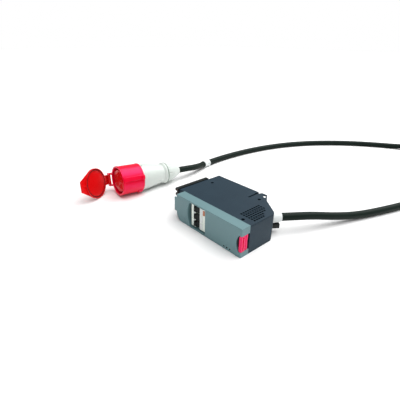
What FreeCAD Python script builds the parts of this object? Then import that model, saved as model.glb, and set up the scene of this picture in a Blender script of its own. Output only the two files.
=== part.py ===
import FreeCAD, Part
import math
import os

# Portable power distribution box: a flat plug-in module with a three-pole breaker behind its front
# bezel, a red release lever, and a five-core lead that ends in a red industrial connector.
# Millimetres. Working frame: X to the right along the front, Y to the back, Z up, with zero at the
# bezel's front left bottom corner. Everything is moved at the end (place) so that the origin is under
# the middle of the box, leaving out the lead.

V = FreeCAD.Vector

# ---------------------------------------------------------------- driving dimensions
BEZEL_WIDTH = 196.0
BEZEL_HEIGHT = 65.0
BEZEL_DEPTH = 23.0
BEZEL_WALL = 3.0
BEZEL_CORNER = 17.0          # large radius at the bezel's lower left corner
BODY_LEFT = -19.0            # the body stands out to the left of the bezel
BODY_BACK = 152.4
BODY_DROP = 1.5              # the body is this much lower than the bezel
STEP_DEPTH = 14.9            # the right-hand part of the back wall stands this far forward
CORNER_CUT = 59.4            # where the right side ends, in front of the back
TRAY_WALL = 2.5
TRAY_FLOOR = 2.5
COVER_THICK = 2.3
COVER_INSET = 0.6            # the cover stands this far inside the tray's outer faces
COVER_STEP = 0.8             # height of the raised panel
COVER_BORDER = 5.0           # width of the lower border on the left and back
SEAM = 0.2                   # gap between the tray's rim and the cover
FIT_GAP = 0.4                # general clearance between a piece and its opening
RUNNING_GAP = 0.05           # radial clearance of a pin in its hole

LUG_SLOT_HALF = 3.0             # half width of the slot in the cover's lug
LUG_SLOT_LENGTH = 11.0
WELL_RADIUS = 3.8            # wells for the cover's screws
WELL_WALL = 1.4
WELL_DEPTH = 13.0
POST_RADIUS = 4.2
THREAD_RADIUS = 1.4          # screws' shanks, which fill their holes
VENT_WIDTH = 5.0
VENT_LENGTH = 4.6
VENT_STEP_X = 6.8
VENT_STEP_Y = 6.7
VENT_COLUMNS = (9, 9, 9, 8, 6, 5)            # slots in each column, from the left

RAIL_WIDTH = 11.0
RAIL_HEIGHT = 19.5
RAIL_FRONT = 20.0
RAIL_LENGTH = 96.0
RAIL_DROP = 0.5              # its top is this much lower than the bezel's
GROOVE_DEPTH = 5.5
GROOVE_HEIGHT = 6.0

POLE_PITCH = 17.7            # modular breaker pitch
POLE_GAP = 0.2
POLE_COUNT = 3
NOSE_WIDTH = 45.0            # standard modular face
NOSE_FRONT = 4.5
NOSE_LEFT = 47.0
NOSE_DEPTH = 24.0
POLE_LENGTH = 85.0
POLE_DEPTH = 44.0

DRUM_RADIUS = 5.0
TOGGLE_DEPTH = 6.4           # pivot behind the breaker's face
TOGGLE_REACH = 11.4
TOGGLE_ANGLE = 38.0          # each side of straight out
TOGGLE_SHAFT = 1.5
TOGGLE_RECESS = 9.4          # half width of the recess round each toggle
CHANNEL_DEPTH = 3.0          # channel across the poles, beside the toggles
TIE_ROD = 0.8                # radius of the rod that joins the three toggles
TIE_PLACE = 9.7              # its distance from the pivot
LABEL_WIDTH = 8.8
TRIP_WIDTH = 4.8
TRIP_HEIGHT = 11.0
TRIP_STANDS_OUT = 1.0
TRIP_LENGTH = 5.4
TRIP_TRAVEL = 1.5

WINDOW_LOW = 3.4             # the window in front of the breaker
WINDOW_SCOOP = 8.0           # how far its curved left side bows out
WINDOW_LEFT_ROOM = 9.0       # from its deepest point to the breaker
WINDOW_RIGHT_ROOM = 3.5
SCOOP_DEPTH = 12.0           # how far back the wall along its curved side runs
SCOOP_WALL = 1.6

CONTACT_LEFT = 10.0
CONTACT_RIGHT = 90.0
CONTACT_HEIGHT = 36.0
CONTACT_DEPTH_IN = 24.4
JAW_PITCH = 16.0
JAW_COUNT = 5
JAW_GAP = 3.4                # takes a busbar blade 3 mm thick
JAW_WALL = 0.9
JAW_HEIGHT = 20.0

LEVER_LOW = 12.5             # the opening for the release lever
LEVER_ROOM_ABOVE = 16.5
LEVER_DEPTH = 11.0
LEVER_FACE = 6.2             # width of its face on the front
LEVER_PIVOT_Y = 17.0
LEVER_PIVOT_IN = 5.5         # pivot from the bezel's right side
LEVER_HUB = 5.0
LEVER_PIN = 2.0
LEVER_GAP = 0.5
POCKET_WIDTH = 20.0          # from the partition to the bezel's right side
POCKET_WALL = 2.0
POCKET_SCOOP = 6.0           # how far the finger opening bows out at its middle
POCKET_REACH = 12.5

CABLE_RADIUS = 9.0
FLOOR_LIFT = 0.2             # keeps the lead's solids just above the surface they lie on
EXIT_RISE = 4.25             # the lead leaves this far above the body's middle
BOOT_LENGTH = 26.0
BOOT_WALL = 4.0              # thickness at the box
BOOT_END_WALL = 1.6
CORE_RADIUS = 2.25
CORE_CIRCLE = 5.2

COIL_CENTRE = (292.0, 912.0)
COIL_RADIUS = 100.0          # middle of the turns
COIL_TURNS_WIDE = 2

SOCKET_RADIUS = 37.9         # connector barrel
SOCKET_WALL = 3.4
SOCKET_LENGTH = 59.0
SHROUD_GAP = 6.0             # ring-shaped gap for the plug's shroud
CONTACT_INSET = 12.0         # contacts' circle, inside the insert's edge
CONTACT_COUNT = 5
PIN_RADIUS = 3.05            # bore of each contact sleeve
SLEEVE_WALL = 0.95
COLLAR_OUT = 6.6             # raised collars round the contacts' mouths
COLLAR_IN = 4.6
COLLAR_FACE = 1.2            # their faces, behind the barrel's rim
HOUSING_LENGTH = 79.0
HOUSING_WALL = 3.0
RING_LENGTH = 3.0
NUT_LENGTH = 46.0
RIM_BEAD = 0.7
CONTACT_FROM = 6.0           # the sleeves' mouths, behind the barrel's rim
CONTACT_TO = 42.0
CONTACT_DEPTH = 32.0         # depth of their bores
SEAT_DEPTH = 6.0             # thickness of the step that the insert seats against
INNER_STEP = 30.0
CATCH_ANGLE = 62.0
LID_FRONT = 7.2              # outer face of the closed lid, ahead of the barrel's rim
LID_OVERHANG = 0.7
LID_PLATE = 3.0
LID_RING_IN = 6.1            # seal's ring, inside the lid's edge
LID_TAB = 15.4               # length of the thumb tab
LID_TIP_HALF = 13.0
LID_PIN_ALONG = -1.0
LID_PIN_RADIUS = 2.0
HINGE_HALF = 13.0            # half the width of the lid's strap
HINGE_LUG = 4.0
HINGE_RADIUS = 4.5
HINGE_OUT = 16.6             # hinge pin from the barrel's side
LID_OPEN = 57.0              # degrees open at rest
CONNECTOR_PLACE = (-196.0, -41.4)
CONNECTOR_CLEAR = 4.7        # barrel's lowest line above the floor, at its mouth
CONNECTOR_HEADING = 4.2      # degrees from +Y towards +X
CONNECTOR_PITCH = 4.0        # degrees, nose up
CONNECTOR_ROLL = 14.0        # degrees, hinge side down
KEY_ANGLE = 7.0              # degrees from the side opposite the hinge

LIGHT_HEIGHT = 6.0           # three indicator lights low on the front
LIGHT_RADIUS = 1.9
LIGHT_PITCH = 8.0
BOARD_THICK = 1.6
BOARD_WIDTH = 52.0
BOARD_LOW = 6.0
SENSOR_THICK = 8.0
SENSOR_HALF = 8.0
BRACKET_THICK = 1.6

# ---------------------------------------------------------------- derived places
BODY_HEIGHT = BEZEL_HEIGHT - BODY_DROP
BODY_RIGHT = BEZEL_WIDTH
STEP_BACK = BODY_BACK - STEP_DEPTH
SIDE_BACK = BODY_BACK - CORNER_CUT
STEP_LEFT = BODY_RIGHT - 85.0
STEP_RIGHT = BODY_RIGHT - 50.5
CORNER_A = V(BODY_RIGHT - 46.0, BODY_BACK - 21.3, 0)     # the two ends of the cut-off back right corner
CORNER_B = V(BODY_RIGHT - 4.0, BODY_BACK - 51.4, 0)
CORNER_MIDDLE = (CORNER_A + CORNER_B) * 0.5
CORNER_ALONG = (CORNER_B - CORNER_A).normalize()
CORNER_OUT = V(-CORNER_ALONG.y, CORNER_ALONG.x, 0)
LUG_LEFT = STEP_LEFT + 4.5
LUG_RIGHT = STEP_LEFT + 23.5
LUG_SLOT = V(STEP_LEFT + 23.8, BODY_BACK - 9.8, 0)
COVER_LOW = BODY_HEIGHT - COVER_THICK
RIM = COVER_LOW - SEAM
SCREWS = [
    (BODY_LEFT + 24, BODY_BACK - 46.4),
    (BODY_RIGHT - 60, BODY_BACK - 30.4),
    (BODY_RIGHT - 26, BEZEL_DEPTH + 8),
]
WELL_BOTTOM = BODY_HEIGHT - WELL_DEPTH
VENT_FIRST = (BODY_RIGHT - 42.3, BEZEL_DEPTH + 21.6)
RAIL_LEFT = BODY_LEFT - RAIL_WIDTH
RAIL_TOP = BEZEL_HEIGHT - RAIL_DROP
RAIL_SCREW_HEIGHT = RAIL_TOP - 6.5
GROOVE_MIDDLE = RAIL_TOP - 10.0
ORIGIN = V((RAIL_LEFT + BODY_RIGHT) / 2, BODY_BACK / 2, 0)

NOSE_RIGHT = NOSE_LEFT + NOSE_WIDTH
SHOULDER = NOSE_FRONT + NOSE_DEPTH
POLE_BACK = SHOULDER + POLE_DEPTH
POLE_LEFT = NOSE_LEFT + NOSE_WIDTH / 2 - POLE_LENGTH / 2
POLE_RIGHT = POLE_LEFT + POLE_LENGTH
STACK_MIDDLE = BEZEL_HEIGHT / 2
POLE_HEIGHTS = [STACK_MIDDLE + (i - 1) * POLE_PITCH for i in range(POLE_COUNT)]
STACK_LOW = POLE_HEIGHTS[0] - POLE_PITCH / 2
STACK_HIGH = POLE_HEIGHTS[-1] + POLE_PITCH / 2
TOGGLE_X = NOSE_LEFT + 17.5
TOGGLE_Y = NOSE_FRONT + TOGGLE_DEPTH
LABEL_FROM = NOSE_LEFT + 27.6
TRIP_X = NOSE_LEFT + 40.0
RAIL_SEAT = POLE_BACK - 1.5          # front face of the rail behind the poles
RAIL_SEAT_BACK = RAIL_SEAT + 7.5
WINDOW_HIGH = BEZEL_HEIGHT - WINDOW_LOW
WINDOW_DEEPEST = NOSE_LEFT - WINDOW_LEFT_ROOM
WINDOW_BULGE = (((WINDOW_HIGH - WINDOW_LOW) / 2) ** 2 + WINDOW_SCOOP ** 2) / (2 * WINDOW_SCOOP)
WINDOW_RIGHT = NOSE_RIGHT + WINDOW_RIGHT_ROOM

CONTACT_FRONT = BODY_BACK - CONTACT_DEPTH_IN
JAW_MIDDLE = BODY_HEIGHT / 2
CONTACT_LOW = JAW_MIDDLE - CONTACT_HEIGHT / 2
CONTACT_HIGH = JAW_MIDDLE + CONTACT_HEIGHT / 2
FIRST_JAW = (CONTACT_LEFT + CONTACT_RIGHT - JAW_PITCH * (JAW_COUNT - 1)) / 2
JAWS = [FIRST_JAW + JAW_PITCH * i for i in range(JAW_COUNT)]
JAW_TAIL = CONTACT_FRONT - 8.0
LOAD_Y = SHOULDER + 21.5
SENSOR_LEFT = POLE_RIGHT + 7.5
SENSOR_RIGHT = SENSOR_LEFT + SENSOR_THICK
BOARD_FRONT = BEZEL_DEPTH + 15.0
BOARD_FACE = BOARD_FRONT + BOARD_THICK
BOARD_RIGHT = BODY_RIGHT - 10.0
BOARD_LEFT = BOARD_RIGHT - BOARD_WIDTH
BOARD_HIGH = BODY_HEIGHT - 7.5
LIGHTS = [BEZEL_WIDTH - 44.0 + LIGHT_PITCH * i for i in range(3)]

LEVER_HIGH = BEZEL_HEIGHT - LEVER_ROOM_ABOVE
LEVER_LEFT = BEZEL_WIDTH - LEVER_FACE
LEVER_X = BEZEL_WIDTH - LEVER_PIVOT_IN
LEVER_MIDDLE = (LEVER_LOW + LEVER_HIGH) / 2
SPRING_LOW = LEVER_MIDDLE - 4.5
SPRING_HIGH = LEVER_MIDDLE + 4.5
POCKET_LEFT = BEZEL_WIDTH - POCKET_WIDTH
POCKET_DEEPEST = BEZEL_WIDTH - POCKET_REACH
POCKET_ARC = (((LEVER_HIGH - LEVER_LOW) / 2) ** 2 + POCKET_SCOOP ** 2) / (2 * POCKET_SCOOP)

EXIT_HEIGHT = BODY_HEIGHT / 2 + EXIT_RISE
BOOT_WALL_RADIUS = CABLE_RADIUS + BOOT_WALL
BOOT_END_RADIUS = CABLE_RADIUS + BOOT_END_WALL
BOOT_FLANGE = BOOT_WALL_RADIUS + 2.5
CABLE_LOW = CABLE_RADIUS + FLOOR_LIFT

SOCKET_BORE = SOCKET_RADIUS - SOCKET_WALL
INSERT_RADIUS = SOCKET_BORE - SHROUD_GAP
CONTACT_CIRCLE = INSERT_RADIUS - CONTACT_INSET
COLLAR_RADIUS = SOCKET_RADIUS + 0.5
SLEEVE_RADIUS = PIN_RADIUS + SLEEVE_WALL
HOUSING_END = SOCKET_LENGTH + HOUSING_LENGTH
RING_END = HOUSING_END + RING_LENGTH
NUT_END = RING_END + NUT_LENGTH
GLAND_BORE = CABLE_RADIUS + 1.0
LID_RADIUS = SOCKET_RADIUS + LID_OVERHANG
LID_RING = LID_RADIUS - LID_RING_IN
LID_TIP = LID_RADIUS + LID_TAB
LID_PIVOT = SOCKET_RADIUS + HINGE_OUT
CONNECTOR_FRONT = V(*CONNECTOR_PLACE, SOCKET_RADIUS + CONNECTOR_CLEAR)


# ---------------------------------------------------------------- small helpers
def box(x0, x1, y0, y1, z0, z1):
    return Part.makeBox(x1 - x0, y1 - y0, z1 - z0, V(x0, y0, z0))


def rod(radius, start, end):
    along = end - start
    return Part.makeCylinder(radius, along.Length, start, along)


def pipe(outer, inner, start, end):
    return rod(outer, start, end).cut(rod(inner, start, end))


def prism(points, z0, z1):
    """A flat outline of (x, y) points, extruded upwards."""
    corners = [V(x, y, z0) for x, y in points]
    face = Part.Face(Part.makePolygon(corners + corners[:1]))
    return face.extrude(V(0, 0, z1 - z0))


def prism_y(points, y0, y1):
    """An outline of (x, z) points, extruded backwards."""
    corners = [V(x, y0, z) for x, z in points]
    face = Part.Face(Part.makePolygon(corners + corners[:1]))
    return face.extrude(V(0, y1 - y0, 0))


def lathe(profile):
    """A closed profile of (radius, along) points, turned about the Y axis."""
    corners = [V(r, a, 0) for r, a in profile]
    face = Part.Face(Part.makePolygon(corners + corners[:1]))
    return face.revolve(V(0, 0, 0), V(0, 1, 0), 360)


def edges_along(shape, direction, keep=lambda middle: True):
    """Straight edges of a shape that run along a direction, chosen by where their middles are."""
    found = []
    for edge in shape.Edges:
        if isinstance(edge.Curve, Part.Line):
            way = edge.Vertexes[1].Point - edge.Vertexes[0].Point
            if way.Length > 1e-6 and abs(abs(way.normalize().dot(direction)) - 1) < 1e-6:
                if keep(edge.CenterOfMass):
                    found.append(edge)
    return found


def union(*shapes):
    return shapes[0].fuse(list(shapes[1:])).removeSplitter()


def group(shapes):
    return Part.makeCompound(shapes)


def place(shape):
    """Moves a piece from the working frame to the part's own frame."""
    return shape.translated(ORIGIN * -1)


def body_points():
    """The tray's outline, seen from above."""
    return [
        (BODY_LEFT, BEZEL_DEPTH),
        (BODY_LEFT, BODY_BACK),
        (STEP_LEFT, BODY_BACK),
        (STEP_LEFT, STEP_BACK),
        (STEP_RIGHT, STEP_BACK),
        (CORNER_A.x, CORNER_A.y),
        (CORNER_B.x, CORNER_B.y),
        (BODY_RIGHT, SIDE_BACK),
        (BODY_RIGHT, BEZEL_DEPTH),
    ]


def body_prism(inset, z0, z1):
    """The body's outline pulled in by inset, extruded from z0 to z1."""
    corners = [V(x, y, z0) for x, y in body_points()]
    face = Part.Face(Part.makePolygon(corners + corners[:1]))
    if inset:
        face = face.makeOffset2D(-inset, 2)
    return face.extrude(V(0, 0, z1 - z0))


def rounded_path(points, share=0.45, label=""):
    """Straight runs joined by tangent arcs, each as large as its two runs allow."""
    edges = []
    last = points[0]
    radii = []
    for a, b, c in zip(points, points[1:], points[2:]):
        back = (a - b).normalize()
        ahead = (c - b).normalize()
        half = (math.pi - back.getAngle(ahead)) / 2
        reach = share * min((a - b).Length, (c - b).Length)
        radius = reach / math.tan(half)
        inward = (back + ahead).normalize()
        start = b + back * reach
        end = b + ahead * reach
        middle = b + inward * (radius / math.cos(half) - radius)
        edges.append(Part.LineSegment(last, start).toShape())
        edges.append(Part.Arc(start, middle, end).toShape())
        last = end
        radii.append(radius)
    edges.append(Part.LineSegment(last, points[-1]).toShape())
    if label:
        print(label, "smallest bend", round(min(radii), 1), "largest", round(max(radii), 1))
    return Part.Wire(edges)


def tube_along(points, radius, label=""):
    """A round tube along a rounded path. Its volume is compared with section times length."""
    path = rounded_path(points, label=label)
    circle = Part.Circle(points[0], points[1] - points[0], radius)
    tube = path.makePipeShell([Part.Wire(circle.toShape())], True, True)
    expected = math.pi * radius ** 2 * path.Length
    if label:
        print(label, "length", round(path.Length, 1), "volume share", round(tube.Volume / expected, 4))
    return tube


# ---------------------------------------------------------------- box: tray, cover, bezel, rail
def make_tray():
    shell = body_prism(0, 0, RIM).cut(body_prism(TRAY_WALL, TRAY_FLOOR, RIM + 1))
    posts = []
    for x, y in SCREWS:
        low = TRAY_FLOOR if y > BEZEL_DEPTH + 20 else WELL_BOTTOM - 14
        posts.append(rod(POST_RADIUS, V(x, y, low), V(x, y, WELL_BOTTOM - SEAM)))
    x, y = SCREWS[2]
    posts.append(box(x - 3, x + 3, BEZEL_DEPTH, y, WELL_BOTTOM - 14, WELL_BOTTOM - 4))
    for x in (BOARD_LEFT, BOARD_RIGHT):
        posts.append(box(x - 3, x + 3, BOARD_FRONT - 3, BOARD_FRONT + 3, 0.5, 18))
    shell = union(shell, *posts)
    nose = box(NOSE_LEFT - FIT_GAP, NOSE_RIGHT + FIT_GAP, BEZEL_DEPTH - 1, BEZEL_DEPTH + TRAY_WALL + 1,
               STACK_LOW - FIT_GAP, STACK_HIGH + FIT_GAP)
    cuts = [nose]
    for x, y in SCREWS:
        cuts.append(rod(THREAD_RADIUS, V(x, y, WELL_BOTTOM - 13), V(x, y, WELL_BOTTOM)))
    for x in LIGHTS:
        cuts.append(rod(LIGHT_RADIUS + FIT_GAP, V(x, BEZEL_DEPTH - 1, LIGHT_HEIGHT),
                        V(x, BEZEL_DEPTH + TRAY_WALL + 1, LIGHT_HEIGHT)))
    cuts.append(box(CONTACT_LEFT - 0.3, CONTACT_RIGHT + 0.3, BODY_BACK - TRAY_WALL - 1, BODY_BACK + 1,
                    CONTACT_LOW - 0.3, CONTACT_HIGH + 0.3))
    exit_point = CORNER_MIDDLE + V(0, 0, EXIT_HEIGHT)
    cuts.append(rod(BOOT_WALL_RADIUS + 0.1, exit_point - CORNER_OUT * 5, exit_point + CORNER_OUT * 5))
    board = box(BOARD_LEFT, BOARD_RIGHT, BOARD_FRONT - 0.1, BOARD_FACE + 0.1, BOARD_LOW - 0.1, 19)
    cuts.append(board)
    for y in rail_screw_places():
        start = V(BODY_LEFT - 1, y, RAIL_SCREW_HEIGHT)
        cuts.append(rod(THREAD_RADIUS, start, start + V(TRAY_WALL + 2, 0, 0)))
    return shell.cut(cuts)


def make_cover():
    low = COVER_LOW
    plate = body_prism(COVER_INSET, low, BODY_HEIGHT)
    lug = prism([(LUG_LEFT, STEP_BACK - 9.5), (LUG_LEFT, BODY_BACK - 11.4), (LUG_LEFT + 4.5, BODY_BACK),
                 (LUG_RIGHT, BODY_BACK), (CORNER_A.x, CORNER_A.y - 0.6), (CORNER_A.x - 3, CORNER_A.y - 11)],
                low, BODY_HEIGHT)
    lip = body_prism(TRAY_WALL + 0.3, low - 2.0, low).cut(body_prism(TRAY_WALL + 2.0, low - 2.5, low))
    wells = []
    for x, y in SCREWS:
        wells.append(rod(WELL_RADIUS + WELL_WALL, V(x, y, WELL_BOTTOM), V(x, y, low)))
    cover = union(plate, lug, lip, *wells)
    border = box(BODY_LEFT - 1, STEP_LEFT, BEZEL_DEPTH - 1, BODY_BACK + 1,
                 BODY_HEIGHT - COVER_STEP, BODY_HEIGHT + 1)
    panel = box(BODY_LEFT + COVER_BORDER, STEP_LEFT + 9, BEZEL_DEPTH - 2, BODY_BACK - COVER_BORDER,
                BODY_HEIGHT - COVER_STEP - 1, BODY_HEIGHT + 2)
    cuts = [border.cut(panel)]
    cuts.append(box(STEP_LEFT + 0.5, LUG_LEFT, STEP_BACK - 24.5, BODY_BACK + 1, low - 3, BODY_HEIGHT + 1))
    slot_middle = LUG_SLOT + V(0, 0, low - 1)
    slot_way = (CORNER_A - V(LUG_RIGHT, BODY_BACK, 0)).normalize()
    half_slot = LUG_SLOT_LENGTH / 2 - LUG_SLOT_HALF
    ends = [slot_middle - slot_way * half_slot, slot_middle + slot_way * half_slot]
    across = V(-slot_way.y, slot_way.x, 0) * LUG_SLOT_HALF
    corners = [ends[0] - across, ends[1] - across, ends[1] + across, ends[0] + across]
    cuts.append(Part.Face(Part.makePolygon(corners + corners[:1])).extrude(V(0, 0, 6)))
    cuts += [rod(LUG_SLOT_HALF, end, end + V(0, 0, 6)) for end in ends]
    for x, y in SCREWS:
        cuts.append(rod(WELL_RADIUS, V(x, y, WELL_BOTTOM + 1.5), V(x, y, BODY_HEIGHT + 1)))
        cuts.append(rod(1.7, V(x, y, WELL_BOTTOM - 1), V(x, y, WELL_BOTTOM + 3)))
    for column, count in enumerate(VENT_COLUMNS):
        for row in range(count):
            x = VENT_FIRST[0] + VENT_STEP_X * column - VENT_WIDTH / 2
            y = VENT_FIRST[1] + VENT_STEP_Y * row - VENT_LENGTH / 2
            cuts.append(box(x, x + VENT_WIDTH, y, y + VENT_LENGTH, low - 1, BODY_HEIGHT + 1))
    return cover.cut(cuts)


def make_cover_screws():
    screws = []
    for x, y in SCREWS:
        seat = WELL_BOTTOM + 1.5
        head = rod(3.0, V(x, y, seat), V(x, y, seat + 2.2))
        drive = box(x - 2.0, x + 2.0, y - 0.4, y + 0.4, seat + 1.2, seat + 3)
        cross = box(x - 0.4, x + 0.4, y - 2.0, y + 2.0, seat + 1.2, seat + 3)
        shank = rod(THREAD_RADIUS, V(x, y, seat - 11), V(x, y, seat))
        screws.append(union(head, shank).cut([drive, cross]))
    return group(screws)


def make_bezel():
    block = box(0, BEZEL_WIDTH, 0, BEZEL_DEPTH, 0, BEZEL_HEIGHT)
    corner = edges_along(block, V(0, 1, 0), lambda m: m.x < 1 and m.z < 1)
    block = block.makeFillet(BEZEL_CORNER, corner)
    corner = edges_along(block, V(0, 1, 0), lambda m: m.x < 1 and m.z > BEZEL_HEIGHT - 1)
    block = block.makeFillet(2.0, corner)
    front = [e for e in block.Edges if abs(e.CenterOfMass.y) < 1e-6 and e.BoundBox.YLength < 1e-6]
    block = block.makeFillet(1.0, front)
    wall = BEZEL_WALL
    inner = box(wall, BEZEL_WIDTH - wall, wall, BEZEL_DEPTH + 1, wall, BEZEL_HEIGHT - wall)
    corner = edges_along(inner, V(0, 1, 0), lambda m: m.x < 5 and m.z < 5)
    inner = inner.makeFillet(BEZEL_CORNER - BEZEL_WALL, corner)
    shell = block.cut(inner)
    front = wall - 0.5
    back = BEZEL_DEPTH - 0.6
    partition = box(POCKET_LEFT, POCKET_LEFT + POCKET_WALL, front, back, 2, BEZEL_HEIGHT - 2)
    shelf_low = box(POCKET_LEFT, BEZEL_WIDTH - 1, front, back, LEVER_LOW - 2.5, LEVER_LOW)
    shelf_high = box(POCKET_LEFT, BEZEL_WIDTH - 1, front, back, LEVER_HIGH, LEVER_HIGH + 2.5)
    ear = box(-9, 1, 1, 4, BEZEL_CORNER + 4, BEZEL_HEIGHT - 10)
    scoop_middle = V(WINDOW_DEEPEST + WINDOW_BULGE, -1, (WINDOW_LOW + WINDOW_HIGH) / 2)
    scoop_end = scoop_middle + V(0, SCOOP_DEPTH + 1, 0)
    lining = pipe(WINDOW_BULGE + SCOOP_WALL, WINDOW_BULGE, scoop_middle, scoop_end)
    curved_side = box(WINDOW_DEEPEST - SCOOP_WALL - 1, NOSE_LEFT - 1, front, SCOOP_DEPTH, 2, WINDOW_HIGH + 2)
    lining = lining.common(curved_side)
    shell = union(shell, partition, shelf_low, shelf_high, ear, lining)
    middle = V(POCKET_DEEPEST + POCKET_ARC, -1, LEVER_MIDDLE)
    lever_cut = rod(POCKET_ARC, middle, middle + V(0, BEZEL_WALL + 1, 0))
    lever_cut = lever_cut.common(box(POCKET_LEFT, BEZEL_WIDTH + 1, -1, BEZEL_WALL + 1, LEVER_LOW, LEVER_HIGH))
    pocket = POCKET_LEFT + POCKET_WALL
    side_cut = box(pocket, BEZEL_WIDTH + 1, wall, BEZEL_DEPTH + 1, LEVER_LOW, LEVER_HIGH)
    pivot = V(LEVER_X, LEVER_PIVOT_Y, 0)
    pin_hole = rod(LEVER_PIN, pivot + V(0, 0, LEVER_LOW - 3), pivot + V(0, 0, LEVER_HIGH + 3))
    scoop = rod(WINDOW_BULGE, scoop_middle, scoop_middle + V(0, BEZEL_WALL + 2, 0))
    window = scoop.common(box(WINDOW_DEEPEST - 1, WINDOW_RIGHT, -1, BEZEL_WALL + 1, WINDOW_LOW, WINDOW_HIGH))
    cuts = [lever_cut, side_cut, pin_hole, window]
    for light in LIGHTS:
        start = V(light, -1, LIGHT_HEIGHT)
        cuts.append(rod(LIGHT_RADIUS + 0.1, start, start + V(0, wall + 2, 0)))
    bezel = shell.cut(cuts)
    curved = [e for e in bezel.Edges if isinstance(e.Curve, Part.Circle) and abs(e.CenterOfMass.y) < 1e-6]
    return bezel.makeChamfer(1.2, [e for e in curved if abs(e.Curve.Radius - WINDOW_BULGE) < 1e-3])


def rail_screw_places():
    return [RAIL_FRONT + 16, RAIL_FRONT + RAIL_LENGTH / 2, RAIL_FRONT + RAIL_LENGTH - 16]


def make_rail():
    bar = box(RAIL_LEFT, BODY_LEFT, RAIL_FRONT, RAIL_FRONT + RAIL_LENGTH, RAIL_TOP - RAIL_HEIGHT, RAIL_TOP)
    bar = bar.makeChamfer(1.0, edges_along(bar, V(0, 1, 0), lambda m: m.x < RAIL_LEFT + 1))
    groove = box(RAIL_LEFT - 1, RAIL_LEFT + GROOVE_DEPTH, RAIL_FRONT - 1, RAIL_FRONT + RAIL_LENGTH + 1,
                 GROOVE_MIDDLE - GROOVE_HEIGHT / 2, GROOVE_MIDDLE + GROOVE_HEIGHT / 2)
    cuts = [groove]
    for y in rail_screw_places():
        start = V(RAIL_LEFT - 1, y, RAIL_SCREW_HEIGHT)
        cuts.append(rod(3.2, start, V(BODY_LEFT - 3, y, RAIL_SCREW_HEIGHT)))
        cuts.append(rod(1.6, start, V(BODY_LEFT + 1, y, RAIL_SCREW_HEIGHT)))
    return bar.cut(cuts)


def make_rail_screws():
    screws = []
    for y in rail_screw_places():
        seat = V(BODY_LEFT - 3, y, RAIL_SCREW_HEIGHT)
        head = rod(2.8, seat, seat - V(2, 0, 0))
        shank = rod(THREAD_RADIUS, seat, seat + V(5.4, 0, 0))
        screws.append(union(head, shank))
    return group(screws)


# ---------------------------------------------------------------- breaker
def make_pole(index):
    z = POLE_HEIGHTS[index]
    half = (POLE_PITCH - POLE_GAP) / 2
    nose = box(NOSE_LEFT, NOSE_RIGHT, NOSE_FRONT, SHOULDER + 1, z - half, z + half)
    nose = nose.makeChamfer(0.6, edges_along(nose, V(0, 0, 1), lambda m: m.y < NOSE_FRONT + 0.1))
    case = box(POLE_LEFT, POLE_RIGHT, SHOULDER, POLE_BACK, z - half, z + half)
    inner_half = half - 1.2
    left = TOGGLE_X - TOGGLE_RECESS
    right = TOGGLE_X + TOGGLE_RECESS
    pivot = V(TOGGLE_X, TOGGLE_Y, z)
    recess = box(left, right, NOSE_FRONT - 1, TOGGLE_Y - 1.2, z - inner_half, z + inner_half)
    channel_back = NOSE_FRONT + CHANNEL_DEPTH
    channel = box(TOGGLE_X - 2.5, right, NOSE_FRONT - 1, channel_back, z - half - 1, z + half + 1)
    drum_room = rod(DRUM_RADIUS + FIT_GAP, pivot - V(0, 0, inner_half), pivot + V(0, 0, inner_half))
    shaft_room = rod(TOGGLE_SHAFT + RUNNING_GAP, pivot - V(0, 0, half + 1), pivot + V(0, 0, half + 1))
    cuts = [recess, channel, drum_room, shaft_room]
    for x0, x1 in ((POLE_LEFT, POLE_LEFT + 12), (POLE_RIGHT - 12, POLE_RIGHT)):
        middle = V((x0 + x1) / 2, SHOULDER - 1, z)
        cuts.append(rod(2.9, middle, middle + V(0, 12, 0)))
    rear_clip = box(NOSE_LEFT + 5, NOSE_LEFT + 40.5, RAIL_SEAT, POLE_BACK + 1, z - half - 1, z + half + 1)
    cuts.append(rear_clip)
    if index == POLE_COUNT - 1:
        wide = TRIP_WIDTH / 2 + FIT_GAP
        high = TRIP_HEIGHT / 2 + FIT_GAP
        back = NOSE_FRONT - TRIP_STANDS_OUT + TRIP_LENGTH + TRIP_TRAVEL + FIT_GAP
        cuts.append(box(TRIP_X - wide, TRIP_X + wide, NOSE_FRONT - 1, back, z - high, z + high))
    return union(nose, case).cut(cuts)


def make_toggle(index):
    """One pole's drum and paddle, drawn straight out and turned to its resting side."""
    z = POLE_HEIGHTS[index]
    half = (POLE_PITCH - POLE_GAP) / 2 - 1.2 - 0.35
    drum = rod(DRUM_RADIUS, V(TOGGLE_X, TOGGLE_Y, z - half), V(TOGGLE_X, TOGGLE_Y, z + half))
    paddle = box(TOGGLE_X - 3.0, TOGGLE_X + 3.0, TOGGLE_Y - TOGGLE_REACH, TOGGLE_Y - 3.5, z - 5.0, z + 5.0)
    paddle = paddle.makeFillet(0.7, edges_along(paddle, V(0, 0, 1), lambda m: m.y < TOGGLE_Y - 8))
    holes = [rod(TOGGLE_SHAFT, V(TOGGLE_X, TOGGLE_Y, z - half - 1), V(TOGGLE_X, TOGGLE_Y, z + half + 1)),
             rod(TIE_ROD, V(TOGGLE_X, TOGGLE_Y - TIE_PLACE, z - 6), V(TOGGLE_X, TOGGLE_Y - TIE_PLACE, z + 6))]
    return turn_toggle(union(drum, paddle).cut(holes))


def turn_toggle(shape):
    return shape.rotated(V(TOGGLE_X, TOGGLE_Y, 0), V(0, 0, 1), -TOGGLE_ANGLE)


def make_tie_rod():
    """The rod through the three paddles, which makes them move as one."""
    y = TOGGLE_Y - TIE_PLACE
    low = V(TOGGLE_X, y, POLE_HEIGHTS[0] - 5.4)
    high = V(TOGGLE_X, y, POLE_HEIGHTS[-1] + 5.4)
    return turn_toggle(rod(TIE_ROD, low, high))


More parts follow.
